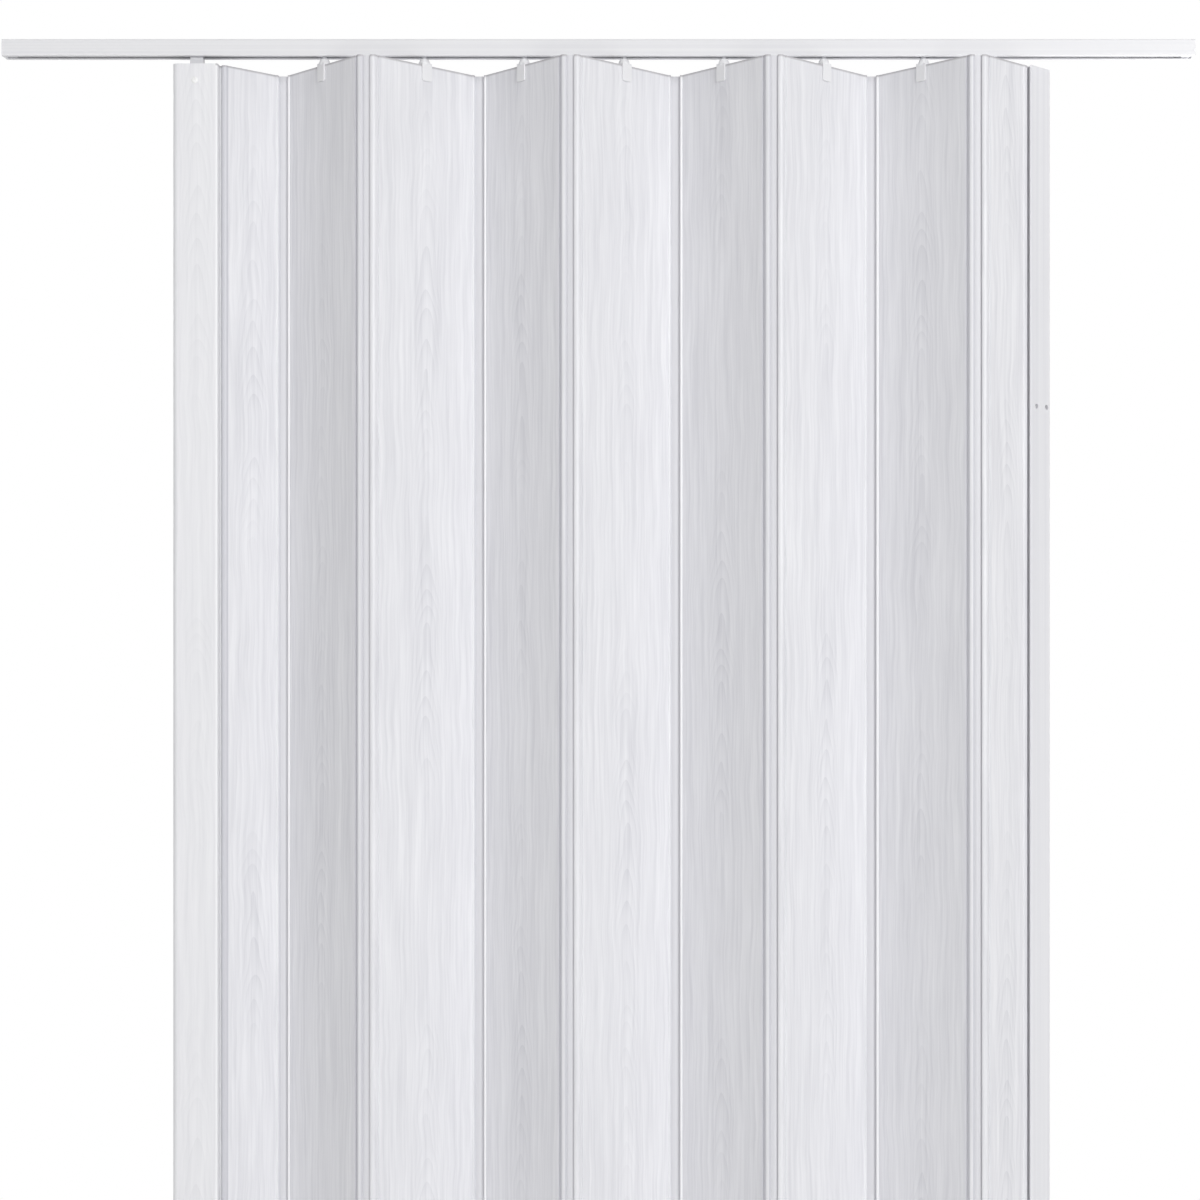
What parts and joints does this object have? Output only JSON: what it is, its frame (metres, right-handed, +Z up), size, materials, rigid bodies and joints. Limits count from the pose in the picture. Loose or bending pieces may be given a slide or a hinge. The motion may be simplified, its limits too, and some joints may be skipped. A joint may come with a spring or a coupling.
{
  "type": "accordion folding partition",
  "caption": "Top-hung accordion folding partition of white ash-look hollow slats on channel hinges, with a rail, lead profile, pull handles and wall profile.",
  "frame": {"origin": "middle of the rail's top face, which lies against the lintel or ceiling", "axes": "+X along the rail towards the wall profile, +Y to the back of the door, +Z up; the slats hang down towards -Z"},
  "size_m": [1, 0.082, 2.041],
  "materials": {
    "ash_pvc": "extruded PVC with a printed white ash grain, satin",
    "white_pvc": "extruded or moulded white PVC, satin",
    "soft_pvc": "extruded white PVC hinge strip, semi-gloss",
    "clip_white": "moulded white nylon, satin",
    "acetal": "moulded light grey acetal, slippery satin",
    "white_screw": "white enamelled pan-head screw",
    "zinc_steel": "zinc-plated steel"
  },
  "bodies": {
    "rail": {"rail": "white_pvc", "rail_end_plug_left": "white_pvc", "rail_end_plug_right": "white_pvc"},
    "slider_2": {"slider_2": "acetal"},
    "slider_3": {"slider_3": "acetal"},
    "slider_4": {"slider_4": "acetal"},
    "slider_5": {"slider_5": "acetal"},
    "slider_6": {"slider_6": "acetal"},
    "slider_7": {"slider_7": "acetal"},
    "slider_8": {"slider_8": "acetal"},
    "slat_1": {"slat_1": "ash_pvc"},
    "slat_2": {"slat_2": "ash_pvc", "glider_clip_2": "clip_white"},
    "slat_3": {"slat_3": "ash_pvc", "glider_clip_3": "clip_white"},
    "slat_4": {"slat_4": "ash_pvc", "glider_clip_4": "clip_white"},
    "slat_5": {"slat_5": "ash_pvc", "glider_clip_5": "clip_white"},
    "slat_6": {"slat_6": "ash_pvc", "glider_clip_6": "clip_white"},
    "slat_7": {"slat_7": "ash_pvc", "glider_clip_7": "clip_white"},
    "slat_8": {"slat_8": "ash_pvc", "glider_clip_8": "clip_white"},
    "slat_9": {"slat_9": "ash_pvc"},
    "front_hinge_1": {"front_hinge_1": "soft_pvc"},
    "front_hinge_2": {"front_hinge_2": "soft_pvc"},
    "front_hinge_3": {"front_hinge_3": "soft_pvc"},
    "front_hinge_4": {"front_hinge_4": "soft_pvc"},
    "back_hinge_1": {"back_hinge_1": "soft_pvc"},
    "back_hinge_2": {"back_hinge_2": "soft_pvc"},
    "back_hinge_3": {"back_hinge_3": "soft_pvc"},
    "back_hinge_4": {"back_hinge_4": "soft_pvc"},
    "lead_profile": {"lead_profile": "ash_pvc", "lead_hanger": "acetal", "lead_hanger_screw": "white_screw", "handle_front": "white_pvc", "handle_back": "white_pvc", "handle_screws": "zinc_steel"},
    "wall_profile": {"wall_profile": "ash_pvc"}
  },
  "joints": [
    {"name": "stack_slide", "type": "slide", "parent": "rail", "child": "slider_8", "axis": [1, 0, 0], "range_m": [0, 0.09]},
    {"name": "fold", "type": "hinge", "parent": "slider_8", "child": "slat_8", "pos_m": [0.27304, 0, -0.021], "axis": [0, 0, -1], "range_deg": [-20, 37.7]},
    {"name": "front_hinge_4_turn", "type": "hinge", "parent": "slat_8", "child": "front_hinge_4", "pos_m": [0.31002, -0.03365, -0.021], "axis": [0, 0, 1], "range_deg": [-20, 37.7]},
    {"name": "slat_9_turn", "type": "hinge", "parent": "front_hinge_4", "child": "slat_9", "pos_m": [0.32002, -0.03365, -0.021], "axis": [0, 0, 1], "range_deg": [-20, 37.7]},
    {"name": "back_hinge_4_turn", "type": "hinge", "parent": "slat_8", "child": "back_hinge_4", "pos_m": [0.23605, 0.03365, -0.021], "axis": [0, 0, 1], "range_deg": [-20, 37.7]},
    {"name": "slat_7_turn", "type": "hinge", "parent": "back_hinge_4", "child": "slat_7", "pos_m": [0.22606, 0.03365, -0.021], "axis": [0, 0, 1], "range_deg": [-20, 37.7]},
    {"name": "front_hinge_3_turn", "type": "hinge", "parent": "slat_7", "child": "front_hinge_3", "pos_m": [0.15209, -0.03365, -0.021], "axis": [0, 0, 1], "range_deg": [-37.7, 20]},
    {"name": "slat_6_turn", "type": "hinge", "parent": "front_hinge_3", "child": "slat_6", "pos_m": [0.14209, -0.03365, -0.021], "axis": [0, 0, 1], "range_deg": [-37.7, 20]},
    {"name": "slider_7_turn", "type": "hinge", "parent": "slat_7", "child": "slider_7", "pos_m": [0.18907, 0, -0.021], "axis": [0, 0, 1], "range_deg": [-37.7, 20]},
    {"name": "back_hinge_3_turn", "type": "hinge", "parent": "slat_6", "child": "back_hinge_3", "pos_m": [0.06813, 0.03365, -0.021], "axis": [0, 0, 1], "range_deg": [-20, 37.7]},
    {"name": "slat_5_turn", "type": "hinge", "parent": "back_hinge_3", "child": "slat_5", "pos_m": [0.05813, 0.03365, -0.021], "axis": [0, 0, 1], "range_deg": [-20, 37.7]},
    {"name": "slider_6_turn", "type": "hinge", "parent": "slat_6", "child": "slider_6", "pos_m": [0.10511, 0, -0.021], "axis": [0, 0, 1], "range_deg": [-20, 37.7]},
    {"name": "front_hinge_2_turn", "type": "hinge", "parent": "slat_5", "child": "front_hinge_2", "pos_m": [-0.01583, -0.03365, -0.021], "axis": [0, 0, 1], "range_deg": [-37.7, 20]},
    {"name": "slat_4_turn", "type": "hinge", "parent": "front_hinge_2", "child": "slat_4", "pos_m": [-0.02583, -0.03365, -0.021], "axis": [0, 0, 1], "range_deg": [-37.7, 20]},
    {"name": "slider_5_turn", "type": "hinge", "parent": "slat_5", "child": "slider_5", "pos_m": [0.02115, 0, -0.021], "axis": [0, 0, 1], "range_deg": [-37.7, 20]},
    {"name": "back_hinge_2_turn", "type": "hinge", "parent": "slat_4", "child": "back_hinge_2", "pos_m": [-0.0998, 0.03365, -0.021], "axis": [0, 0, 1], "range_deg": [-20, 37.7]},
    {"name": "slat_3_turn", "type": "hinge", "parent": "back_hinge_2", "child": "slat_3", "pos_m": [-0.1098, 0.03365, -0.021], "axis": [0, 0, 1], "range_deg": [-20, 37.7]},
    {"name": "slider_4_turn", "type": "hinge", "parent": "slat_4", "child": "slider_4", "pos_m": [-0.06282, 0, -0.021], "axis": [0, 0, 1], "range_deg": [-20, 37.7]},
    {"name": "front_hinge_1_turn", "type": "hinge", "parent": "slat_3", "child": "front_hinge_1", "pos_m": [-0.18376, -0.03365, -0.021], "axis": [0, 0, 1], "range_deg": [-37.7, 20]},
    {"name": "slat_2_turn", "type": "hinge", "parent": "front_hinge_1", "child": "slat_2", "pos_m": [-0.19376, -0.03365, -0.021], "axis": [0, 0, 1], "range_deg": [-37.7, 20]},
    {"name": "slider_3_turn", "type": "hinge", "parent": "slat_3", "child": "slider_3", "pos_m": [-0.14678, 0, -0.021], "axis": [0, 0, 1], "range_deg": [-37.7, 20]},
    {"name": "back_hinge_1_turn", "type": "hinge", "parent": "slat_2", "child": "back_hinge_1", "pos_m": [-0.26772, 0.03365, -0.021], "axis": [0, 0, 1], "range_deg": [-20, 37.7]},
    {"name": "slat_1_turn", "type": "hinge", "parent": "back_hinge_1", "child": "slat_1", "pos_m": [-0.27772, 0.03365, -0.021], "axis": [0, 0, 1], "range_deg": [-20, 37.7]},
    {"name": "slider_2_turn", "type": "hinge", "parent": "slat_2", "child": "slider_2", "pos_m": [-0.23074, 0, -0.021], "axis": [0, 0, 1], "range_deg": [-20, 37.7]},
    {"name": "lead_turn", "type": "hinge", "parent": "slat_1", "child": "lead_profile", "pos_m": [-0.31471, 0, -0.021], "axis": [0, 0, 1], "range_deg": [-37.7, 20]},
    {"name": "wall_profile_swing", "type": "hinge", "parent": "slat_9", "child": "wall_profile", "pos_m": [0.357, 0, -0.021], "axis": [0, 0, 1], "range_deg": [0, 67]}
  ],
  "couplings": [
    {"joint": "front_hinge_4_turn", "follows": "fold", "ratio": 1},
    {"joint": "slat_9_turn", "follows": "fold", "ratio": 1},
    {"joint": "back_hinge_4_turn", "follows": "fold", "ratio": 1},
    {"joint": "slat_7_turn", "follows": "fold", "ratio": 1},
    {"joint": "front_hinge_3_turn", "follows": "fold", "ratio": -1},
    {"joint": "slat_6_turn", "follows": "fold", "ratio": -1},
    {"joint": "slider_7_turn", "follows": "fold", "ratio": -1},
    {"joint": "back_hinge_3_turn", "follows": "fold", "ratio": 1},
    {"joint": "slat_5_turn", "follows": "fold", "ratio": 1},
    {"joint": "slider_6_turn", "follows": "fold", "ratio": 1},
    {"joint": "front_hinge_2_turn", "follows": "fold", "ratio": -1},
    {"joint": "slat_4_turn", "follows": "fold", "ratio": -1},
    {"joint": "slider_5_turn", "follows": "fold", "ratio": -1},
    {"joint": "back_hinge_2_turn", "follows": "fold", "ratio": 1},
    {"joint": "slat_3_turn", "follows": "fold", "ratio": 1},
    {"joint": "slider_4_turn", "follows": "fold", "ratio": 1},
    {"joint": "front_hinge_1_turn", "follows": "fold", "ratio": -1},
    {"joint": "slat_2_turn", "follows": "fold", "ratio": -1},
    {"joint": "slider_3_turn", "follows": "fold", "ratio": -1},
    {"joint": "back_hinge_1_turn", "follows": "fold", "ratio": 1},
    {"joint": "slat_1_turn", "follows": "fold", "ratio": 1},
    {"joint": "slider_2_turn", "follows": "fold", "ratio": 1},
    {"joint": "lead_turn", "follows": "fold", "ratio": -1}
  ]
}
